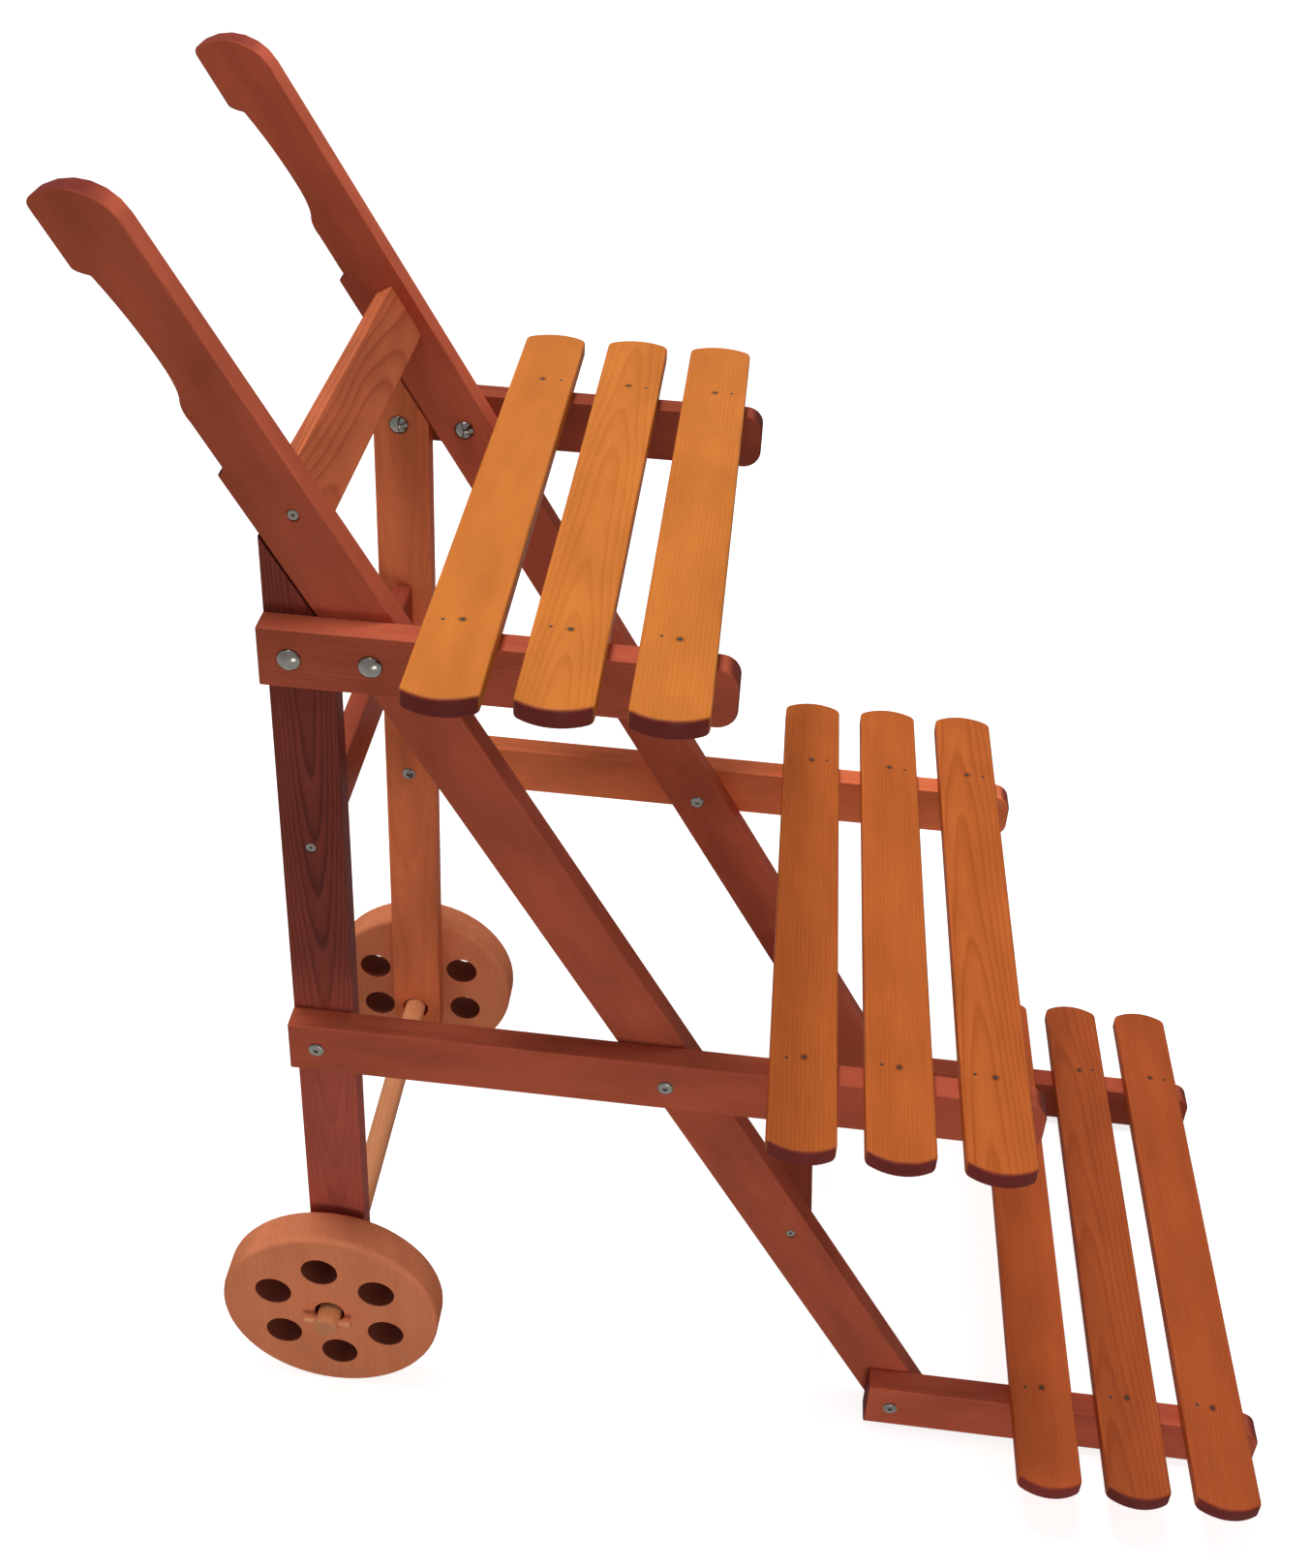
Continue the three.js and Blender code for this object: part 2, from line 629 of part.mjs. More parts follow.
const frameWood = wood(0x9a4b34, 0.55);
const slatWood = {
  upper: wood(0xdc8a42, 0.5),
  middle: wood(0xc4642d, 0.5),
  lower: wood(0xbd6630, 0.5),
};
const wheelWood = wood(0xbc6c48, 0.75);
const dowelWood = wood(0xd99a5c, 0.7);
const zinc = new THREE.MeshStandardMaterial({ color: 0xb9bcc0, roughness: 0.3, metalness: 1 });

// ---------------------------------------------------------------- assembly

const cart = new THREE.Group();

function add(name, geometry, material, x = 0, y = 0, z = 0) {
  const mesh = new THREE.Mesh(geometry, material);
  mesh.name = name;
  mesh.position.set(x, y, z);
  cart.add(mesh);
  return mesh;
}

// A turned fastener whose head lies on a face across the cart and points along +Y or -Y.
function addFastener(name, geometry, point, face, outward) {
  const mesh = add(name, geometry, zinc, point.x, face, point.y);
  if (outward < 0) mesh.rotation.x = Math.PI;
  return mesh;
}

const boltPairs = {
  upper: { bolt: ['carriage_bolt', carriageBolt], nut: ['cap_nut', capNut] },
  middle: { bolt: ['connector_bolt', connectorBolt], nut: ['sleeve_nut', sleeveNut] },
  lower: { bolt: ['connector_bolt', connectorBolt], nut: ['sleeve_nut', sleeveNut] },
};

for (const { name, sign, wheelTurn } of SIDES) {
  const boardMiddle = sign * (HALF_FRAME - BOARD_THICKNESS / 2);
  add(`${name}_stringer`, stringer(sign), frameWood, 0, boardMiddle);
  add(`${name}_leg`, leg(sign), frameWood, 0, boardMiddle);

  for (const shelf of SHELVES) {
    const bearerY = sign * (HALF_FRAME + BOARD_THICKNESS / 2);
    add(`${name}_${shelf.name}_bearer`, bearer(shelf), frameWood, 0, bearerY);
    const { bolt, nut } = boltPairs[shelf.name];
    for (const [board, point] of Object.entries(fixings(shelf))) {
      const place = `${name}_${shelf.name}_${board}`;
      addFastener(`${place}_${bolt[0]}`, bolt[1](), point, sign * BEARER_FACE, sign);
      addFastener(`${place}_${nut[0]}`, nut[1](), point, sign * INNER_FACE, -sign);
    }
  }

  const screwFace = sign * (HALF_FRAME - SCREW_SINK);
  addFastener(`${name}_upper_cross_screw`, woodScrew(), UPPER_CROSS_CENTRE, screwFace, sign);
  addFastener(`${name}_leg_cross_screw`, woodScrew(), LEG_CROSS_CENTRE, screwFace, sign);
  addFastener(`${name}_lower_cross_screw`, woodScrew(), LOWER_CROSS_CENTRE, screwFace, sign);

  const wheelMiddle = sign * (HALF_FRAME + WHEEL_GAP + WHEEL_THICKNESS / 2);
  add(`${name}_wheel`, wheel(wheelTurn), wheelWood, WHEEL_CENTRE.x, wheelMiddle, WHEEL_CENTRE.y);
  const pegY = sign * (AXLE_HALF_LENGTH - PEG_END_DISTANCE);
  add(`${name}_wheel_peg`, peg(), dowelWood, AXLE_CENTRE.x, pegY, AXLE_CENTRE.y);
}

for (const shelf of SHELVES) {
  for (let index = 0; index < SLAT_COUNT; index += 1) {
    const name = `${shelf.name}_slat_${index + 1}`;
    add(name, slatGeometry(), slatWood[shelf.name], slatCentre(shelf, index), 0, shelf.height);
  }
}

add('axle', axle(), dowelWood, AXLE_CENTRE.x, 0, AXLE_CENTRE.y);
add('leg_cross_board', crossBoard(), frameWood, LEG_CROSS_CENTRE.x, 0, LEG_CROSS_CENTRE.y);

const leaningBoards = { upper_cross_board: UPPER_CROSS_CENTRE, lower_cross_board: LOWER_CROSS_CENTRE };
for (const [name, point] of Object.entries(leaningBoards)) {
  const board = add(name, crossBoard(), frameWood, point.x, 0, point.y);
  board.rotation.y = STRINGER_LEAN - Math.PI / 2;
}

// Put the origin on the floor under the middle of the cart's length.
const extent = new THREE.Box3().setFromObject(cart, true);
cart.position.x = -(extent.min.x + extent.max.x) / 2;

export default cart;
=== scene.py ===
import math
import random

import bpy
from mathutils import Matrix, Vector


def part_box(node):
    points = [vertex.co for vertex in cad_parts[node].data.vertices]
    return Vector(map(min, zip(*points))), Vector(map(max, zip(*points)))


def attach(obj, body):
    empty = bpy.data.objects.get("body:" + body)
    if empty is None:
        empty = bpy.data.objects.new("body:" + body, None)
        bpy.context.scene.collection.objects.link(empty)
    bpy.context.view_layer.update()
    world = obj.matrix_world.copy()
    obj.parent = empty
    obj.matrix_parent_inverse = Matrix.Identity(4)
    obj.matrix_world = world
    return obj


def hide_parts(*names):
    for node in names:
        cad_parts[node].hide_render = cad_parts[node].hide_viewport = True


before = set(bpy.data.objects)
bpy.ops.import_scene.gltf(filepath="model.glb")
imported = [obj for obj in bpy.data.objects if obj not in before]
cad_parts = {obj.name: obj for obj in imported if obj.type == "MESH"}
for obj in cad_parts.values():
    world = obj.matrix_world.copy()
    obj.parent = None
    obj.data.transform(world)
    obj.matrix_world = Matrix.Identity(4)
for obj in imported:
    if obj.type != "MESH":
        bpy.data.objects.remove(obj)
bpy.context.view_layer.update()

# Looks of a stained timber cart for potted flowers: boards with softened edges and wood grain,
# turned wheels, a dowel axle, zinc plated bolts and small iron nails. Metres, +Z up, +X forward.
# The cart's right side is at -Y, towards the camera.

MM = 0.001
X, Y, Z = Vector((1, 0, 0)), Vector((0, 1, 0)), Vector((0, 0, 1))
SIDES = {"right": -1, "left": 1}

# ------------------------------------------------------------------ camera

# The photograph was solved as a pinhole view: place, turn, focal length and optical centre.
PHOTO_WIDTH, PHOTO_HEIGHT = 1353, 1619
FOCAL_PIXELS = 1857.63
CENTRE_PIXELS = (636.19, 608.50)
CAMERA_PLACE = Vector((-0.031724, -1.426022, 1.776521))
CAMERA_YAW, CAMERA_PITCH, CAMERA_ROLL = 0.084, -0.560, 0.045  # radians
SENSOR_MM = 36


def make_camera():
    """The photograph's camera, from the solved view."""
    forward = Vector((
        -math.sin(CAMERA_YAW) * math.cos(CAMERA_PITCH),
        math.cos(CAMERA_YAW) * math.cos(CAMERA_PITCH),
        math.sin(CAMERA_PITCH),
    ))
    level = Vector((math.cos(CAMERA_YAW), math.sin(CAMERA_YAW), 0))
    upright = level.cross(forward)
    right = level * math.cos(CAMERA_ROLL) + upright * math.sin(CAMERA_ROLL)
    up = upright * math.cos(CAMERA_ROLL) - level * math.sin(CAMERA_ROLL)
    camera = bpy.data.objects.new("photo_camera", bpy.data.cameras.new("photo_camera"))
    camera.matrix_world = Matrix((
        (right.x, up.x, -forward.x, CAMERA_PLACE.x),
        (right.y, up.y, -forward.y, CAMERA_PLACE.y),
        (right.z, up.z, -forward.z, CAMERA_PLACE.z),
        (0, 0, 0, 1),
    ))
    camera.data.sensor_width = SENSOR_MM
    camera.data.lens = SENSOR_MM * FOCAL_PIXELS / PHOTO_HEIGHT
    camera.data.shift_x = (PHOTO_WIDTH / 2 - CENTRE_PIXELS[0]) / PHOTO_HEIGHT
    camera.data.shift_y = (CENTRE_PIXELS[1] - PHOTO_HEIGHT / 2) / PHOTO_HEIGHT
    bpy.context.scene.collection.objects.link(camera)
    bpy.context.scene.camera = camera


# ------------------------------------------------------------------ materials

# The mix node's colour sockets by number, because its number sockets have the same names.
COLOUR_A, COLOUR_B, MIXED_COLOUR = 6, 7, 2
NOISE_LOW, NOISE_HIGH = 0.3, 0.7  # most values of a noise lie between these

# Patterns of the wood: how often each one changes in a metre, along the grain and the two ways
# across it, and how finely it is broken up.
WOOD_PATTERNS = {
    "wander": ((3.2, 11, 11), 2.0),  # slow bends of the tree, one in about 30 cm
    "fibre": ((18, 620, 620), 3.0),  # streaks 1.6 mm wide and 5 cm long: finer ones wouldn't show
    "band": ((2.5, 38, 38), 2.0),  # strips 26 mm wide and 40 cm long that took more stain
    "cloud": ((9, 20, 20), 3.0),  # patches of brushed stain, 5 cm wide and 11 cm long
    "worn": ((14, 60, 60), 3.0),  # worn places on the edges, 7 cm long
}
# How much of the darker stain shows across a growth ring: little in its broad spring wood, all of
# it in its narrow summer wood, and then at once little again. Each row is a place and a share.
RING_SHADES = ((0.0, 0.1), (0.55, 0.35), (0.86, 1.0), (1.0, 0.15))
FIBRE_SHARE, BAND_SHARE = 0.4, 0.5  # what fibres and bands add to the rings
PALE_AT, DARK_AT = 0.25, 1.05  # the sums that give the paler and the darker stain
HEART_FADE = 0.07  # heartwood gives way to paler wood over twice this length, in metres
HEART_BRIGHTNESS = 0.55  # heartwood beside paler wood
RINGS_BEYOND_HEART = 0.3  # how strongly rings show in the paler wood, beside the heartwood's
HALO_NEAR, HALO_FAR = 1.8 * MM, 5.5 * MM  # iron stain round a nail: full within one, gone at the other
HALO_BRIGHTNESS = 0.5  # stained wood beside clean wood
WORN_FROM, WORN_TO = 0.4, 0.7  # values of the worn pattern where an edge is whole and rubbed pale
FIBRE_SHEEN, FIBRE_DULLNESS = 0.07, 0.1  # how far fibres change the roughness, down and up
FIBRE_RELIEF = 0.6  # how high fibres stand beside summer wood
GRAIN_HEIGHT = 0.25 * MM  # of summer wood over spring wood
GRAIN_STRENGTH = 0.35
VARNISH_ROUGHNESS = 0.3

# Fine marks on metal.
SCUFFS_PER_METRE = 900.0  # scuffs about a millimetre across
DULL_PATCHES_PER_METRE = 160.0  # duller patches about 6 mm across
PATCH_DARK, PATCH_LIGHT = 0.85, 1.08  # the metal's brightness from its dull patches to the rest
SCUFF_HEIGHT = 0.05 * MM
SCUFF_STRENGTH = 0.2


def linear(hex_colour):
    """An sRGB hex value as the linear colour that the shaders work in."""
    channels = [int(hex_colour[i:i + 2], 16) / 255 for i in (1, 3, 5)]
    return tuple(c / 12.92 if c <= 0.04045 else ((c + 0.055) / 1.055) ** 2.4 for c in channels) + (1,)


def add_node(material, kind, inputs=None, **settings):
    """Adds a node to a material with its settings, input values and links from other sockets."""
    tree = material.node_tree
    node = tree.nodes.new(kind)
    for name, value in settings.items():
        setattr(node, name, value)
    for socket, value in (inputs or {}).items():
        if isinstance(value, bpy.types.NodeSocket):
            tree.links.new(value, node.inputs[socket])
        else:
            node.inputs[socket].default_value = value
    return node


def new_material(name):
    """An empty node material with its shader and output."""
    material = bpy.data.materials.new(name)
    material.use_nodes = True
    material.node_tree.nodes.clear()
    shader = add_node(material, "ShaderNodeBsdfPrincipled")
    add_node(material, "ShaderNodeOutputMaterial", {"Surface": shader.outputs[0]})
    return material, shader


def read_marks(material):
    """What mark_grain wrote on a board, by name. "pith" is the board's own coordinates from the
    middle of the tree, x along the grain, and "board" is the same from the middle of the board.
    "end" is 1 on cut ends and on the walls of a disc's bores, where its darker colour is partly painted
    shade, and "arris" is 1 along softened edges. "tone" is how light the board is, on some boards with
    painted light and shade in it, and "figure" is how strongly its growth rings show."""
    marks = {}
    for mark in ("pith", "board"):
        marks[mark] = add_node(material, "ShaderNodeAttribute", attribute_name=mark).outputs["Vector"]
    for mark in ("end", "arris", "tone", "figure"):
        marks[mark] = add_node(material, "ShaderNodeAttribute", attribute_name=mark).outputs["Fac"]
    return marks


def wood_patterns(material, pith):
    """The patterns of the wood, by name, each as a value at every place of a board."""
    patterns = {}
    for pattern, (per_metre, detail) in WOOD_PATTERNS.items():
        scaled = add_node(material, "ShaderNodeVectorMath", {0: pith, 1: per_metre}, operation="MULTIPLY")
        noise = add_node(material, "ShaderNodeTexNoise", {
            "Vector": scaled.outputs[0], "Scale": 1.0, "Detail": detail})
        patterns[pattern] = noise.outputs["Fac"]
    return patterns


def growth_rings(material, pith, wander, ring_mm, wander_mm):
    """How much of the darker stain the growth rings show, by the distance from a wandering pith."""
    across = add_node(material, "ShaderNodeVectorMath", {0: pith, 1: (0, 1, 1)}, operation="MULTIPLY")
    reach = add_node(material, "ShaderNodeVectorMath", {0: across.outputs[0]}, operation="LENGTH")
    shift = add_node(material, "ShaderNodeMath", {
        0: wander, 1: 2 * wander_mm * MM, 2: reach.outputs["Value"]}, operation="MULTIPLY_ADD")
    count = add_node(material, "ShaderNodeMath", {
        0: shift.outputs[0], 1: ring_mm * MM}, operation="DIVIDE")
    ring = add_node(material, "ShaderNodeMath", {0: count.outputs[0]}, operation="FRACT")
    profile = add_node(material, "ShaderNodeValToRGB", {"Fac": ring.outputs[0]})
    elements = profile.color_ramp.elements
    for place, shade in RING_SHADES[1:-1]:
        elements.new(place)
    for element, (place, shade) in zip(elements, RING_SHADES):
        element.position = place
        element.color = (shade, shade, shade, 1)
    return profile.outputs["Color"]


def heartwood(material, board, heart_end):
    """1 in the heartwood, which fills the board as far as a place along it, and 0 past it."""
    along = add_node(material, "ShaderNodeSeparateXYZ", {"Vector": board}).outputs["X"]
    heart = add_node(material, "ShaderNodeMapRange", {
        "Value": along, "From Min": heart_end + HEART_FADE, "From Max": heart_end - HEART_FADE,
    }, interpolation_type="SMOOTHSTEP")
    return heart.outputs[0]


def scale_by(material, value, share, when_none, when_full):
    """A value times a factor, which is given for a share of 0 and for a share of 1."""
    factor = add_node(material, "ShaderNodeMapRange", {
        "Value": share, "To Min": when_none, "To Max": when_full})
    scaled = add_node(material, "ShaderNodeMath", {0: value, 1: factor.outputs[0]}, operation="MULTIPLY")
    return scaled.outputs[0]


def stain_colour(material, grain, patterns, end, early, late, end_and_bore_colour):
    """The stain: paler in spring wood, darker in summer wood, and darkest on cut ends, which drink it,
    and on the walls of a disc's bores, where the darkness is partly painted shade.
    """
    fibred = add_node(material, "ShaderNodeMath", {
        0: patterns["fibre"], 1: FIBRE_SHARE, 2: grain}, operation="MULTIPLY_ADD")
    banded = add_node(material, "ShaderNodeMath", {
        0: patterns["band"], 1: BAND_SHARE, 2: fibred.outputs[0]}, operation="MULTIPLY_ADD")
    amount = add_node(material, "ShaderNodeMapRange", {
        "Value": banded.outputs[0], "From Min": PALE_AT, "From Max": DARK_AT})
    stain = add_node(material, "ShaderNodeMix", {
        "Factor": amount.outputs[0], COLOUR_A: linear(early), COLOUR_B: linear(late)}, data_type="RGBA")
    drunk_stain_and_bore_shade = add_node(material, "ShaderNodeMix", {
        "Factor": end, COLOUR_A: stain.outputs[MIXED_COLOUR], COLOUR_B: linear(end_and_bore_colour),
    }, data_type="RGBA")
    return drunk_stain_and_bore_shade.outputs[MIXED_COLOUR]


def brightness(material, marks, patterns, mottle_depth, arris_light):
    """How light the stain is: its clouds, the board's tone, which on some boards holds painted light and
    shade, and edges that are rubbed paler.
    """
    clouded = add_node(material, "ShaderNodeMapRange", {
        "Value": patterns["cloud"], "From Min": NOISE_LOW, "From Max": NOISE_HIGH,
        "To Min": 1 - mottle_depth / 2, "To Max": 1 + mottle_depth / 2})
    toned = add_node(material, "ShaderNodeMath", {
        0: clouded.outputs[0], 1: marks["tone"]}, operation="MULTIPLY")
    wear = add_node(material, "ShaderNodeMapRange", {
        "Value": patterns["worn"], "From Min": WORN_FROM, "From Max": WORN_TO,
        "To Min": 0.0, "To Max": arris_light})
    edge = add_node(material, "ShaderNodeMath", {
        0: marks["arris"], 1: wear.outputs[0], 2: 1.0}, operation="MULTIPLY_ADD")
    level = add_node(material, "ShaderNodeMath", {
        0: toned.outputs[0], 1: edge.outputs[0]}, operation="MULTIPLY")
    return level.outputs[0]


def darken_round_nails(material, level, board, nails_at):
    """Iron has stained the wood round each nail. The nails' place is mirrored to every side."""
    mirrored = add_node(material, "ShaderNodeVectorMath", {0: board}, operation="ABSOLUTE")
    from_nail = add_node(material, "ShaderNodeVectorMath", {
        0: mirrored.outputs[0], 1: nails_at}, operation="DISTANCE")
    halo = add_node(material, "ShaderNodeMapRange", {
        "Value": from_nail.outputs["Value"], "From Min": HALO_NEAR, "From Max": HALO_FAR,
        "To Min": HALO_BRIGHTNESS, "To Max": 1.0}, interpolation_type="SMOOTHSTEP")
    stained = add_node(material, "ShaderNodeMath", {0: level, 1: halo.outputs[0]}, operation="MULTIPLY")
    return stained.outputs[0]


def varnish_wood(material, shader, fibre, grain, roughness, varnish):
    """Satin varnish over raised grain. The wood under it is dull: all the sheen is the varnish's own,
    worn thin."""
    links = material.node_tree.links
    gloss = add_node(material, "ShaderNodeMapRange", {
        "Value": fibre, "From Min": NOISE_LOW, "From Max": NOISE_HIGH,
        "To Min": roughness - FIBRE_SHEEN, "To Max": roughness + FIBRE_DULLNESS})
    links.new(gloss.outputs[0], shader.inputs["Roughness"])
    relief = add_node(material, "ShaderNodeMath", {
        0: fibre, 1: FIBRE_RELIEF, 2: grain}, operation="MULTIPLY_ADD")
    bump = add_node(material, "ShaderNodeBump", {
        "Height": relief.outputs[0], "Strength": GRAIN_STRENGTH, "Distance": GRAIN_HEIGHT})
    links.new(bump.outputs[0], shader.inputs["Normal"])
    shader.inputs["Specular IOR Level"].default_value = 0
    shader.inputs["Coat Weight"].default_value = varnish
    shader.inputs["Coat Roughness"].default_value = VARNISH_ROUGHNESS


def stained_pine(name, early, late, end_and_bore_colour, ring_mm=4.5, ring_depth=0.5, wander_mm=10,
                 mottle_depth=0.3, arris_light=0.25, roughness=0.5, varnish=0.06, heart_end=None,
                 nails_at=None):
    """Softwood under stain and a thin varnish. The stain has one colour on spring wood, one on summer
    wood and one on cut ends, which in a disc also colours the walls of its bores, partly as painted
    shade.
    Heartwood ends at a place along the board, in metres from its middle, and a nail's place is given from
    there as well."""
    material, shader = new_material(name)
    marks = read_marks(material)
    patterns = wood_patterns(material, marks["pith"])
    rings = growth_rings(material, marks["pith"], patterns["wander"], ring_mm, wander_mm)
    figure = add_node(material, "ShaderNodeMath", {
        0: marks["figure"], 1: ring_depth}, operation="MULTIPLY").outputs[0]
    level = brightness(material, marks, patterns, mottle_depth, arris_light)
    if heart_end is not None:
        heart = heartwood(material, marks["board"], heart_end)
        figure = scale_by(material, figure, heart, RINGS_BEYOND_HEART, 1.0)
        level = scale_by(material, level, heart, 1.0, HEART_BRIGHTNESS)
    if nails_at is not None:
        level = darken_round_nails(material, level, marks["board"], nails_at)
    grain = add_node(material, "ShaderNodeMath", {0: rings, 1: figure}, operation="MULTIPLY").outputs[0]
    stain = stain_colour(material, grain, patterns, marks["end"], early, late, end_and_bore_colour)
    colour = add_node(material, "ShaderNodeVectorMath", {0: stain, "Scale": level}, operation="SCALE")
    material.node_tree.links.new(colour.outputs[0], shader.inputs["Base Color"])
    varnish_wood(material, shader, patterns["fibre"], grain, roughness, varnish)
    return material


def metal(name, hex_colour, roughness, metallic=1.0, scuff_depth=0.06):
    """A metal with a plain finish: fine random scuffs change its gloss and its surface a little."""
    material, shader = new_material(name)
    links = material.node_tree.links
    place = add_node(material, "ShaderNodeTexCoord").outputs["Object"]
    scuff = add_node(material, "ShaderNodeTexNoise", {
        "Vector": place, "Scale": SCUFFS_PER_METRE, "Detail": 4.0})
    patch = add_node(material, "ShaderNodeTexNoise", {
        "Vector": place, "Scale": DULL_PATCHES_PER_METRE, "Detail": 2.0})
    shade = add_node(material, "ShaderNodeMapRange", {
        "Value": patch.outputs["Fac"], "From Min": NOISE_LOW, "From Max": NOISE_HIGH,
        "To Min": PATCH_DARK, "To Max": PATCH_LIGHT})
    base = add_node(material, "ShaderNodeVectorMath", {
        0: linear(hex_colour)[:3], "Scale": shade.outputs[0]}, operation="SCALE")
    links.new(base.outputs[0], shader.inputs["Base Color"])
    gloss = add_node(material, "ShaderNodeMapRange", {
        "Value": scuff.outputs["Fac"], "From Min": NOISE_LOW, "From Max": NOISE_HIGH,
        "To Min": roughness - scuff_depth, "To Max": roughness + scuff_depth})
    links.new(gloss.outputs[0], shader.inputs["Roughness"])
    bump = add_node(material, "ShaderNodeBump", {
        "Height": scuff.outputs["Fac"], "Strength": SCUFF_STRENGTH, "Distance": SCUFF_HEIGHT})
    links.new(bump.outputs[0], shader.inputs["Normal"])
    shader.inputs["Metallic"].default_value = metallic
    return material


# ------------------------------------------------------------------ modelling

SAME_POINT = 0.01 * MM  # corners of a CAD solid's triangles that lie closer are one
FLAT_ANGLE = math.radians(0.6)  # faces that turn less than this are one flat face
SHARP_ANGLE = math.radians(40)  # edges that turn more than this are softened
SMOOTH_ANGLE = math.radians(38)  # what turns less than this is shaded as one curve
# Parts of a vertex normal where a mark begins and where it is full.
END_FROM, END_TO = 0.25, 0.6  # along the grain, on cut ends
# In a disc's bores the darker cut-end colour is partly painted shade.
BORE_FROM, BORE_TO = 0.75, 0.45  # through the disc, in its bores
ARRIS_FROM, ARRIS_TO = 0.97, 0.89  # the largest part, on softened edges


def deselect():
    """Deselects everything, because operators act on all that is selected."""
    bpy.ops.object.select_all(action="DESELECT")


def take_up(piece):
    """Makes a piece the only selected and the active one."""
    deselect()
    piece.select_set(True)
    bpy.context.view_layer.objects.active = piece


def apply_modifier(piece, kind, **settings):
    """Adds a modifier with its settings and makes its result the piece's own mesh."""
    modifier = piece.modifiers.new(kind.lower(), kind)
    for name, value in settings.items():
        setattr(modifier, name, value)
    take_up(piece)
    bpy.ops.object.modifier_apply(modifier=modifier.name)


def finish_piece(piece, material, slot, body, *nodes):
    """Gives a piece its material and the body it rides on, and hides the nodes it stands for. The slot is
    not used.
    """
    piece.data.materials.clear()
    piece.data.materials.append(material)
    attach(piece, body)
    if nodes:
        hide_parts(*nodes)
    return piece


def clean_copy(node):
    """A copy of a CAD solid, its loose triangles merged and its flat faces made whole."""
    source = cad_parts[node]
    piece = bpy.data.objects.new("timber_" + node, source.data.copy())
    bpy.context.scene.collection.objects.link(piece)
    take_up(piece)
    bpy.ops.object.mode_set(mode="EDIT")
    bpy.ops.mesh.select_all(action="SELECT")
    bpy.ops.mesh.remove_doubles(threshold=SAME_POINT)
    bpy.ops.mesh.dissolve_limited(angle_limit=FLAT_ANGLE)
    bpy.ops.object.mode_set(mode="OBJECT")
    return piece


def soften(piece, arris_mm):
    """Rounds the sharp edges of a board, as sanding does, and shades it smooth."""
    take_up(piece)
    bpy.ops.object.shade_smooth()
    apply_modifier(piece, "BEVEL", width=arris_mm * MM, segments=3, limit_method="ANGLE",
                   angle_limit=SHARP_ANGLE, use_clamp_overlap=False)
    take_up(piece)
    bpy.ops.object.shade_smooth_by_angle(angle=SMOOTH_ANGLE)
    apply_modifier(piece, "WEIGHTED_NORMAL", keep_sharp=True, weight=80)


def share_of(value, start, full):
    """0 at a start and before it, 1 at a full value and past it, in proportion between them."""
    return min(max((value - start) / (full - start), 0), 1)


def saw_cut(dice, flat_sawn):
    """Where in the tree a board comes from, in metres: how far its middle lies from the pith, across
    and through, and how fast it leaves it. A flat sawn board comes from right over the pith, which it
    slowly leaves, and shows arches. Any other comes from beside it and shows straight lines."""
    across = dice.choice((-1, 1)) * dice.uniform(0.08, 0.14)
    through = dice.uniform(-0.04, 0.04)
    slope = 0
    if flat_sawn:
        across = dice.uniform(-0.02, 0.02)
        through = dice.choice((-1, 1)) * dice.uniform(0.03, 0.05)
        slope = math.copysign(dice.uniform(0.02, 0.035), through)
    return across, through, slope


def mark_grain(piece, along, across, middle, chance, tone, figure, flat_sawn, bored):
    """Writes the coordinates and marks that the wood's materials read. In a disc cut across its
    bores, all the walls of the bores take the cut-end mark, partly as end grain and partly as painted
    shade."""
    through = along.cross(across)
    dice = random.Random(chance)
    cut_across, cut_through, slope = saw_cut(dice, flat_sawn)
    start = dice.uniform(1, 40)  # each board has its own stretch of the patterns, in metres
    mesh = piece.data
    board, pith, end, arris = [], [], [], []
    for vertex in mesh.vertices:
        from_middle = vertex.co - middle
        place = (from_middle.dot(along), from_middle.dot(across), from_middle.dot(through))
        board.extend(place)
        pith.extend((place[0] + start, place[1] + cut_across, place[2] + cut_through + slope * place[0]))
        parts = [abs(vertex.normal.dot(axis)) for axis in (along, across, through)]
        if bored:
            in_bore = math.hypot(place[0], place[1]) < bored
            # The walls of a bore get the cut-end mark: partly end grain, partly painted shade.
            end.append(share_of(parts[2], BORE_FROM, BORE_TO) if in_bore else 0)
        else:
            end.append(share_of(parts[0], END_FROM, END_TO))
        arris.append(share_of(max(parts), ARRIS_FROM, ARRIS_TO))
    count = len(mesh.vertices)
    for name, kind, key, values in (
        ("board", "FLOAT_VECTOR", "vector", board),
        ("pith", "FLOAT_VECTOR", "vector", pith),
        ("end", "FLOAT", "value", end),
        ("arris", "FLOAT", "value", arris),
        ("tone", "FLOAT", "value", [tone] * count),
        ("figure", "FLOAT", "value", [figure] * count),
    ):
        mesh.attributes.new(name, kind, "POINT").data.foreach_set(key, values)


def middle_of(node):
    """The middle of a CAD node's box."""
    low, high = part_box(node)
    return (low + high) / 2


def dress_board(node, along, across, material, slot, chance, arris_mm, body="frame", tone=1.0,
                figure=1.0, flat_sawn=False, bored=0):
    """Dresses a wooden solid: its grain runs along one axis, and its width lies across it."""
    piece = clean_copy(node)
    soften(piece, arris_mm)
    mark_grain(piece, along, across, middle_of(node), chance, tone, figure, flat_sawn, bored)
    return finish_piece(piece, material, slot, body, node)


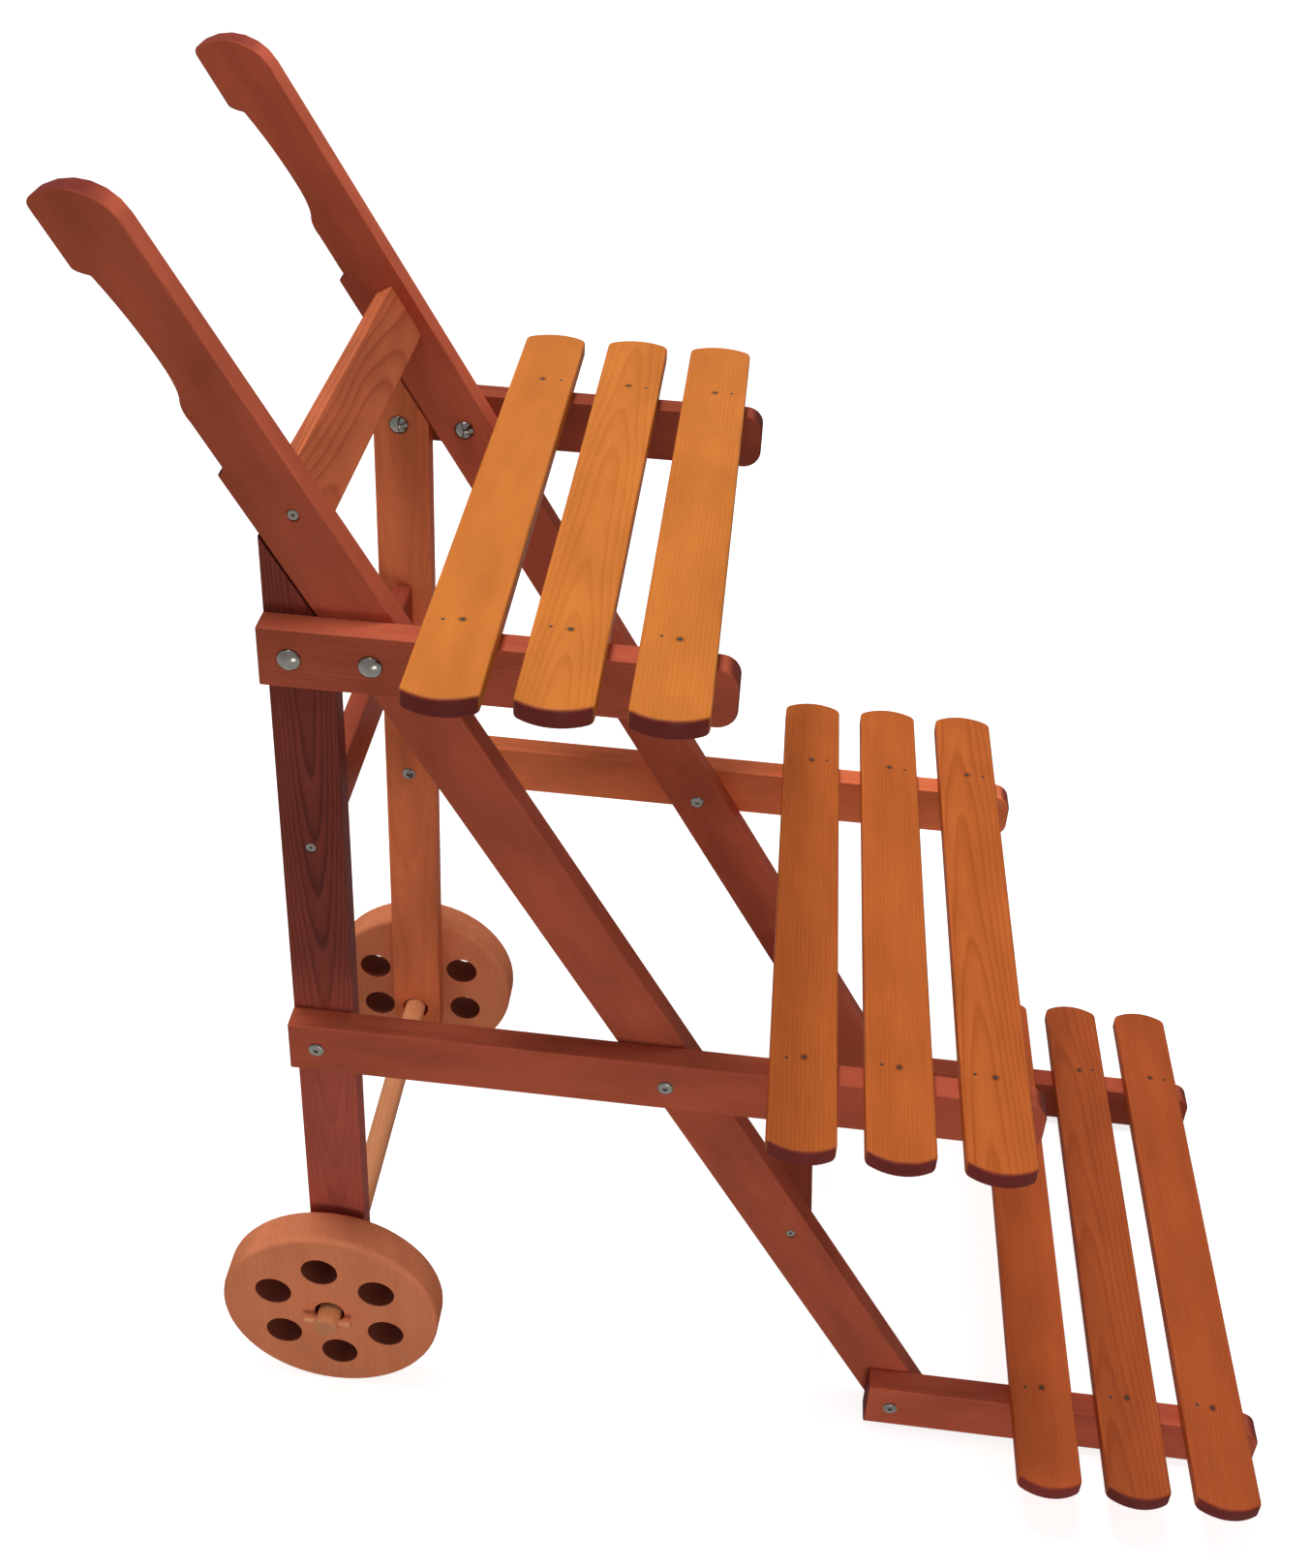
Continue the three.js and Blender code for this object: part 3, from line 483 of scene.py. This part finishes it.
def turn_profile(name, outline_mm, steps=32):
    """A turned piece about Z: its outline is drawn from one point by extruding, then spun."""
    deselect()
    bpy.ops.mesh.primitive_plane_add(size=MM)
    piece = bpy.context.active_object
    piece.name = name
    bpy.ops.object.mode_set(mode="EDIT")
    bpy.ops.mesh.select_all(action="SELECT")
    bpy.ops.mesh.merge(type="CENTER")
    points = [Vector((radius * MM, 0, height * MM)) for radius, height in outline_mm]
    bpy.ops.transform.translate(value=points[0])
    for before, after in zip(points, points[1:]):
        bpy.ops.mesh.extrude_region_move(TRANSFORM_OT_translate={"value": after - before})
    bpy.ops.mesh.select_all(action="SELECT")
    bpy.ops.mesh.spin(steps=steps, angle=math.tau, center=(0, 0, 0), axis=(0, 0, 1))
    bpy.ops.mesh.select_all(action="SELECT")
    bpy.ops.mesh.remove_doubles(threshold=0.005 * MM)
    bpy.ops.mesh.normals_make_consistent(inside=False)
    bpy.ops.object.mode_set(mode="OBJECT")
    return piece


def dome_outline(radius, height, base, steps=7):
    """Points of a shallow dome over a base height, from its rim to its top, in millimetres."""
    ball = (radius * radius + height * height) / (2 * height)
    reaches = [radius * (1 - step / steps) for step in range(steps + 1)]
    return [(reach, height - ball + math.sqrt(ball * ball - reach * reach) + base) for reach in reaches]


def cut_out(piece, tool):
    """Sinks a recess into a piece with another piece, which is then thrown away."""
    apply_modifier(piece, "BOOLEAN", object=tool, operation="DIFFERENCE", solver="EXACT")
    bpy.data.objects.remove(tool)


def place_copy(model, name, seat, outward):
    """A copy of a turned piece with its own mesh, seated at a point with its axis along Y or Z."""
    piece = bpy.data.objects.new(name, model.data.copy())
    bpy.context.scene.collection.objects.link(piece)
    piece.data.transform(Matrix.Translation(seat) @ Z.rotation_difference(outward).to_matrix().to_4x4())
    return piece


make_camera()

# ------------------------------------------------------------------ the cart's own places

SHELVES = ("upper", "middle", "lower")
SLAT_TOPS = {shelf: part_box(shelf + "_slat_1")[1].z for shelf in SHELVES}
SLAT_HALF = (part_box("upper_slat_1")[1].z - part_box("upper_slat_1")[0].z) / 2
NAIL_REACH = abs(middle_of("right_upper_bearer").y)  # nails stand over the middles of the bearers
OUTER_FACE = abs(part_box("right_upper_bearer")[0].y)
INNER_FACE = abs(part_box("right_leg")[1].y)
SCREW_FACE = abs(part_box("right_leg_cross_screw")[0].y)

STRINGER_LEAN = math.radians(59.4)  # above the floor
UP_STRINGER = Vector((-math.cos(STRINGER_LEAN), 0, math.sin(STRINGER_LEAN)))
ACROSS_STRINGER = Vector((math.sin(STRINGER_LEAN), 0, math.cos(STRINGER_LEAN)))

# ------------------------------------------------------------------ finishes

# Pine under a red-brown stain: side frames. The stain is thick and nearly hides the grain.
frame_pine = stained_pine(
    "pine_red_brown_stain", "#CC6749", "#A84A38", "#7A342A", ring_depth=0.6)
# One darker board, whose heartwood shows its arches under the same stain.
heart_pine = stained_pine(
    "pine_heartwood_dark", "#CC6450", "#844038", "#6A2C26", ring_mm=2.6, ring_depth=0.6,
    wander_mm=3, mottle_depth=0.2, heart_end=0.03)
# The same stain on paler boards. On the left leg and the left middle bearer its paleness is painted
# light.
pale_pine = stained_pine(
    "pine_pale_red_brown_stain", "#DC7A4E", "#B85C3C", "#7A342A", ring_depth=0.6)
# Pine under a golden stain, which lets the fine grain through: slats. The lower shelves' slats are
# darker and redder as painted shade.
SLAT_STAINS_WITH_PAINTED_SHADE = {
    "upper": ("#DA823C", "#C06C2A"),
    "middle": ("#D87438", "#AC5424"),
    "lower": ("#D46A38", "#A64C2A"),
}
slat_pine = {}
for shelf, (early, late) in SLAT_STAINS_WITH_PAINTED_SHADE.items():
    slat_pine[shelf] = stained_pine(
        f"pine_golden_stain_{shelf}", early, late, "#742E28", ring_mm=3.8, wander_mm=6,
        mottle_depth=0.18, varnish=0.1, nails_at=(NAIL_REACH, 0, SLAT_HALF))
# Sawn discs under one thin coat of stain: almost matt and the grain hardly shows. The bores are
# darker, partly end grain that drank more stain and partly painted shade inside them.
wheel_pine = stained_pine(
    "disc_salmon_stain", "#F4966C", "#E08054", "#8C4A3A", ring_mm=7.0, ring_depth=0.15,
    mottle_depth=0.16, arris_light=0.1, roughness=0.65, varnish=0.0)
# A planed dowel, paler than the boards.
dowel_pine = stained_pine(
    "dowel_pale_stain", "#F4AA7A", "#E0905E", "#DE9468", ring_mm=6.0, ring_depth=0.3,
    mottle_depth=0.12, arris_light=0.1, roughness=0.6, varnish=0.05)
# Zinc plate on steel: grey with sharp highlights and fine scuffs. Its dark grey is a painted reflection
# of dark surroundings.
zinc = metal("zinc_plated_steel", "#686560", roughness=0.18)
# Nail heads that have browned under the varnish: dull and dark.
nail_iron = metal("browned_nail_iron", "#24140E", roughness=0.6, metallic=0.1)

# ------------------------------------------------------------------ timber

# How light each board is beside its neighbours, partly painted light and shade: the left side's boards
# and the lower bearers are lighter, the upper bearers darker, and the left upper bearer darkest, as a
# painted shadow of the slats over it. Each board's chance number chooses its grain and its cut.
STRINGER_TONES_WITH_PAINTED_LIGHT = {"right": 0.92, "left": 1.14}
BEARER_TONES_WITH_PAINTED_LIGHT = {
    "upper": {"right": 0.86, "left": 0.6},
    "middle": {"right": 1.0, "left": 1.5},
    "lower": {"right": 1.15, "left": 1.15},
}
for side, sign in SIDES.items():
    dress_board(
        f"{side}_stringer", UP_STRINGER, ACROSS_STRINGER, frame_pine, "frame_wood",
        chance=11 + sign, arris_mm=2.0, tone=STRINGER_TONES_WITH_PAINTED_LIGHT[side], figure=0.15)
    for number, (shelf, tones) in enumerate(BEARER_TONES_WITH_PAINTED_LIGHT.items()):
        # The left middle bearer's paler stain is painted light, as are the left side's higher tones.
        stain = pale_pine if (side, shelf) == ("left", "middle") else frame_pine
        dress_board(
            f"{side}_{shelf}_bearer", X, Z, stain, "frame_wood",
            chance=31 + 2 * number + sign, arris_mm=1.8, tone=tones[side], figure=0.35)
dress_board(
    "right_leg", -Z, X, heart_pine, "frame_wood", chance=22, arris_mm=1.6, figure=0.9, flat_sawn=True)
# The left leg's paler stain and higher tone are painted light.
dress_board(
    "left_leg", -Z, X, pale_pine, "frame_wood", chance=23, arris_mm=1.6, tone=1.35, figure=0.35,
    flat_sawn=True)

dress_board(
    "upper_cross_board", Y, UP_STRINGER, pale_pine, "frame_wood", chance=41, arris_mm=1.5, tone=0.86,
    flat_sawn=True)
dress_board(
    "lower_cross_board", Y, UP_STRINGER, frame_pine, "frame_wood", chance=42, arris_mm=1.5, tone=0.8,
    figure=0.35)
dress_board(
    "leg_cross_board", Y, Z, frame_pine, "frame_wood", chance=43, arris_mm=1.5, tone=0.85, figure=0.35)

# Slats one to three of each shelf: how strongly their rings show, and how light they are. The first
# lower slat is made lighter as painted light, against the shadow that the middle shelf casts on it.
SLAT_FIGURES = {"upper": (0.3, 0.8, 0.6), "middle": (0.5, 0.4, 0.78), "lower": (0.5, 0.78, 0.6)}
SLAT_TONES_WITH_PAINTED_LIGHT = {"upper": (0.95, 0.98, 0.96), "middle": (1.03, 0.98, 1.02), "lower": (1.4, 0.92, 0.98)}
ARCHED_FIGURE = 0.75  # slats whose rings show more than this are flat sawn
for number, (shelf, figures) in enumerate(SLAT_FIGURES.items()):
    for index, figure in enumerate(figures, start=1):
        dress_board(
            f"{shelf}_slat_{index}", Y, X, slat_pine[shelf], "slat_wood",
            chance=50 + 3 * number + index, arris_mm=3.0, tone=SLAT_TONES_WITH_PAINTED_LIGHT[shelf][index - 1],
            figure=figure, flat_sawn=figure > ARCHED_FIGURE)

# ------------------------------------------------------------------ wheels and axle

BORED_REACH = 0.095  # every bore of a wheel lies within this distance of its middle
for side, sign in SIDES.items():
    dress_board(
        f"{side}_wheel", Z, X, wheel_pine, "wheel_wood", chance=71 + sign, arris_mm=1.2,
        body=f"{side}_wheel", bored=BORED_REACH)
    dress_board(
        f"{side}_wheel_peg", X, Z, dowel_pine, "dowel_wood", chance=81 + sign, arris_mm=0.5, body="axle")
dress_board("axle", Y, X, dowel_pine, "dowel_wood", chance=91, arris_mm=0.8, body="axle")

# ------------------------------------------------------------------ bolts, nuts and screws

# Each outline is half of a section, as radius and height in millimetres, from the foot of the shank
# to the top of the head. Heights are from the face that the head lies on.
CARRIAGE_RIM = [(10, 0), (10.25, 0.4), (10.25, 1.1), (9.95, 1.8)]
carriage_bolt = turn_profile(
    "carriage_bolt",
    [(0, -45.5), (3.6, -45.5), (4, -45), (4, 0)] + CARRIAGE_RIM + dome_outline(9.4, 2.65, base=2.35))
CAP_RIM = [(9.6, 0), (10, 0.5), (10, 1.2), (9.7, 1.9)]
cap_nut = turn_profile(
    "cap_nut",
    [(0, 1), (4.3, 1), (4.3, -9), (5.25, -9), (5.25, 0)] + CAP_RIM + dome_outline(9.2, 4.5, base=2.5))
FLAT_HEAD = [(7.2, 0), (7.5, 0.3), (7.5, 0.9), (7.0, 1.6), (6.2, 2.05), (5.4, 2.2), (0, 2.2)]
connector_bolt = turn_profile("connector_bolt", [(0, -48), (2.6, -48), (3, -47.6), (3, 0)] + FLAT_HEAD)
sleeve_nut = turn_profile(
    "sleeve_nut", [(0, 0), (3.3, 0), (3.3, -22), (4.5, -22), (4.5, 0)] + FLAT_HEAD)
wood_screw = turn_profile(
    "wood_screw", [(0, -60), (0.4, -59.6), (2.25, -53), (2.25, -3), (4.3, -0.3), (4.5, 0), (0, 0)])
# A nail: its round head is 0.4 mm proud of the slat at its middle and level with it at its rim.
nail = turn_profile(
    "nail", [(0, -28), (0.3, -27.5), (1.1, -25), (1.1, -0.6), (2.0, -0.5), (2.1, 0.05), (1.9, 0.3),
             (1.1, 0.38), (0, 0.42)], steps=16)
# A brad: its small head is nearly level with the slat.
brad = turn_profile(
    "brad", [(0, -18), (0.8, -17), (0.8, -0.2), (1.55, -0.1), (1.6, 0.08), (0.9, 0.14), (0, 0.16)],
    steps=12)
MODELS = (carriage_bolt, cap_nut, connector_bolt, sleeve_nut, wood_screw, nail, brad)

# A six sided socket in the flat heads, and a cross in the screw's.
SOCKET_RADIUS, SOCKET_DEPTH, SOCKET_MIDDLE = 2.4 * MM, 2.8 * MM, 2.3 * MM
CROSS_SIZE = (3.4 * MM, 1.1 * MM, 3.2 * MM)
for model in (connector_bolt, sleeve_nut):
    deselect()
    bpy.ops.mesh.primitive_cylinder_add(
        vertices=6, radius=SOCKET_RADIUS, depth=SOCKET_DEPTH, location=(0, 0, SOCKET_MIDDLE))
    cut_out(model, bpy.context.active_object)
for turn in (0, math.pi / 2):
    deselect()
    bpy.ops.mesh.primitive_cube_add(size=1, scale=CROSS_SIZE, rotation=(0, 0, turn))
    cut_out(wood_screw, bpy.context.active_object)
HEAD_SMOOTH_ANGLE = math.radians(32)  # the rims of the heads stay crisp
for model in MODELS:
    take_up(model)
    bpy.ops.object.shade_smooth_by_angle(angle=HEAD_SMOOTH_ANGLE)

# What each kind of node becomes, how far its head's seat is from the plane of symmetry, and 1 where
# the head faces away from that plane or -1 where it faces it.
FASTENERS = {
    "carriage_bolt": (carriage_bolt, OUTER_FACE, 1),
    "cap_nut": (cap_nut, INNER_FACE, -1),
    "connector_bolt": (connector_bolt, OUTER_FACE, 1),
    "sleeve_nut": (sleeve_nut, INNER_FACE, -1),
    "screw": (wood_screw, SCREW_FACE, 1),
}
for node in sorted(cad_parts):
    for ending, (model, face, outwards) in FASTENERS.items():
        if node.endswith("_" + ending):
            sign = SIDES[node.split("_")[0]]
            middle = middle_of(node)
            seat = Vector((middle.x, sign * face, middle.z))
            piece = place_copy(model, "zinc_" + node, seat, Y * sign * outwards)
            finish_piece(piece, zinc, "zinc_steel", "frame", node)

# Each slat has a nail over each bearer's middle, and beside the nail a brad whose place varies.
BRAD_NEAR, BRAD_FAR = 15, 19  # millimetres across the slat, forwards on the left, back on the right
BRAD_STRAY = 3  # millimetres along the slat, either way
for shelf, top in SLAT_TOPS.items():
    for index in (1, 2, 3):
        middle = middle_of(f"{shelf}_slat_{index}")
        for side, sign in SIDES.items():
            dice = random.Random(f"{shelf}{index}{side}")
            seat = Vector((middle.x, sign * NAIL_REACH, top))
            head = place_copy(nail, f"nail_{shelf}_{index}_{side}", seat, Z)
            finish_piece(head, nail_iron, "zinc_steel", "frame")
            forward = sign * dice.uniform(BRAD_NEAR, BRAD_FAR) * MM
            sideways = dice.uniform(-BRAD_STRAY, BRAD_STRAY) * MM
            brad_seat = seat + Vector((forward, sideways, 0))
            pin = place_copy(brad, f"brad_{shelf}_{index}_{side}", brad_seat, Z)
            finish_piece(pin, nail_iron, "zinc_steel", "frame")

for model in MODELS:
    bpy.data.objects.remove(model)

# ------------------------------------------------------------------ floor, world and lamps

FLOOR_SIZE = 14  # metres, far past the edges of the picture
FLOOR_DROP = 0.4 * MM  # the floor lies this far under the wheels and feet, so that no faces coincide
FLOOR_GLOW = 0.8  # added for the camera and for mirrors, so that the lit floor reaches white
WORLD_LIGHT = 0.26  # what the world lights the cart with, where the camera sees 1


def make_floor():
    """A plain floor. The camera and mirrors see it glow white, and it throws little light up."""
    deselect()
    bpy.ops.mesh.primitive_plane_add(size=FLOOR_SIZE, location=(0, 0, -FLOOR_DROP))
    floor = bpy.context.active_object
    floor.name = "floor"
    material, shader = new_material("pale_floor")
    links = material.node_tree.links
    path = add_node(material, "ShaderNodeLightPath")
    seen = add_node(material, "ShaderNodeMath", {
        0: path.outputs["Is Camera Ray"], 1: path.outputs["Is Glossy Ray"]}, operation="MAXIMUM")
    tone = add_node(material, "ShaderNodeMix", {
        "Factor": seen.outputs[0], COLOUR_A: linear("#A8A6A4"), COLOUR_B: linear("#F4F3F1"),
    }, data_type="RGBA")
    links.new(tone.outputs[MIXED_COLOUR], shader.inputs["Base Color"])
    shader.inputs["Roughness"].default_value = 0.9
    shader.inputs["Specular IOR Level"].default_value = 0.1
    glow = add_node(material, "ShaderNodeMath", {0: seen.outputs[0], 1: FLOOR_GLOW}, operation="MULTIPLY")
    links.new(glow.outputs[0], shader.inputs["Emission Strength"])
    shader.inputs["Emission Color"].default_value = (1, 1, 1, 1)
    floor.data.materials.append(material)


def make_world():
    """Soft even light from all round, and white behind the cart and in what mirrors it."""
    world = bpy.data.worlds.new("studio")
    bpy.context.scene.world = world
    world.use_nodes = True
    world.node_tree.nodes.clear()
    path = add_node(world, "ShaderNodeLightPath")
    mirrored = add_node(world, "ShaderNodeMath", {
        0: path.outputs["Is Glossy Ray"], 1: path.outputs["Is Transmission Ray"]}, operation="MAXIMUM")
    seen = add_node(world, "ShaderNodeMath", {
        0: path.outputs["Is Camera Ray"], 1: mirrored.outputs[0]}, operation="MAXIMUM")
    strength = add_node(world, "ShaderNodeMapRange", {
        "Value": seen.outputs[0], "To Min": WORLD_LIGHT, "To Max": 1.0})
    sky = add_node(world, "ShaderNodeBackground", {
        "Color": (1, 1, 1, 1), "Strength": strength.outputs[0]})
    add_node(world, "ShaderNodeOutputWorld", {"Surface": sky.outputs[0]})


def make_lamp(name, place, aim, size, watts):
    """A round soft lamp, which the camera doesn't see."""
    lamp = bpy.data.objects.new(name, bpy.data.lights.new(name, "AREA"))
    lamp.data.shape = "DISK"
    lamp.data.size = size
    lamp.data.energy = watts
    lamp.visible_camera = False
    lamp.location = place
    lamp.rotation_euler = (Vector(aim) - Vector(place)).to_track_quat("-Z", "Y").to_euler()
    bpy.context.scene.collection.objects.link(lamp)


make_floor()
make_world()
make_lamp("key_overhead", place=(-0.7, 0.1, 4.3), aim=(0.05, 0, 0.4), size=1.3, watts=94)
make_lamp("fill_low_in_front", place=(0.3, -2.5, 0.1), aim=(0.1, 0, 0.2), size=0.9, watts=19)
bpy.context.scene.view_settings.view_transform = "Standard"
